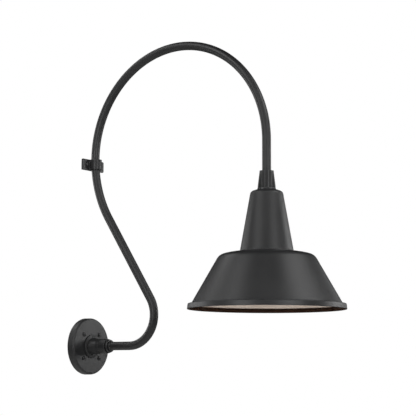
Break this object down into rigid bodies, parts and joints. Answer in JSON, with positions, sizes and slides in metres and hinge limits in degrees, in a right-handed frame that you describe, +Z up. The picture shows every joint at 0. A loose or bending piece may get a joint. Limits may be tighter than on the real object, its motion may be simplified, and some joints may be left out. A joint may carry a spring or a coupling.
{
  "type": "barn light",
  "caption": "Gooseneck barn light: round wall canopy, high curved arm held by a wall strap, finned fitter and a spun angle-neck shade that opens downwards.",
  "frame": {"origin": "middle of the two junction box slots, on the back face of the mounting plate, which lies on the wall", "axes": "+Z up, -Y out of the wall towards the room, +X to the right of someone who faces the wall"},
  "size_m": [0.3348, 0.6579, 0.737],
  "materials": {
    "black_powder_coat": "satin black powder coat",
    "black_shade": "satin black outside, warm white inside",
    "black_screws": "black oxide",
    "foam_gasket": "closed-cell foam",
    "rubber_seat": "matte rubber",
    "zinc_steel": "zinc plated",
    "green_screw": "green lacquer",
    "bare_copper": "bare copper",
    "brass": "bright brass",
    "black_nylon": "matte",
    "black_wire": "soft plastic",
    "white_wire": "soft plastic",
    "white_ceramic": "glazed ceramic"
  },
  "bodies": {
    "arm": {"wall_gasket": "foam_gasket", "mounting_plate": "zinc_steel", "canopy": "black_powder_coat", "canopy_screws": "black_screws", "hub": "black_powder_coat", "hub_nut": "zinc_steel", "hub_grub_screw": "black_screws", "ferrule": "brass", "lock_nut": "black_powder_coat", "ground_screw": "green_screw", "ground_wire": "bare_copper", "gooseneck_tube": "black_powder_coat", "tube_bushing": "black_nylon", "line_lead": "black_wire", "neutral_lead": "white_wire", "standoff": "black_powder_coat", "wall_strap": "black_powder_coat", "strap_screws": "black_screws"},
    "head": {"shade_fitter": "black_powder_coat", "fitter_grub_screw": "black_screws", "shade_seat": "rubber_seat", "shade": "black_shade", "nipple": "zinc_steel", "nipple_washer": "zinc_steel", "nipple_nut": "zinc_steel", "holder_cap": "zinc_steel", "lamp_holder": "white_ceramic", "screw_shell": "brass", "centre_contact": "brass", "holder_screws": "brass", "line_tail": "black_wire", "neutral_tail": "white_wire"}
  },
  "joints": [
    {"name": "shade_turn", "type": "hinge", "parent": "arm", "child": "head", "pos_m": [0, -0.49046, 0.35], "axis": [0, 0, 1], "range_deg": [-170, 170]}
  ]
}
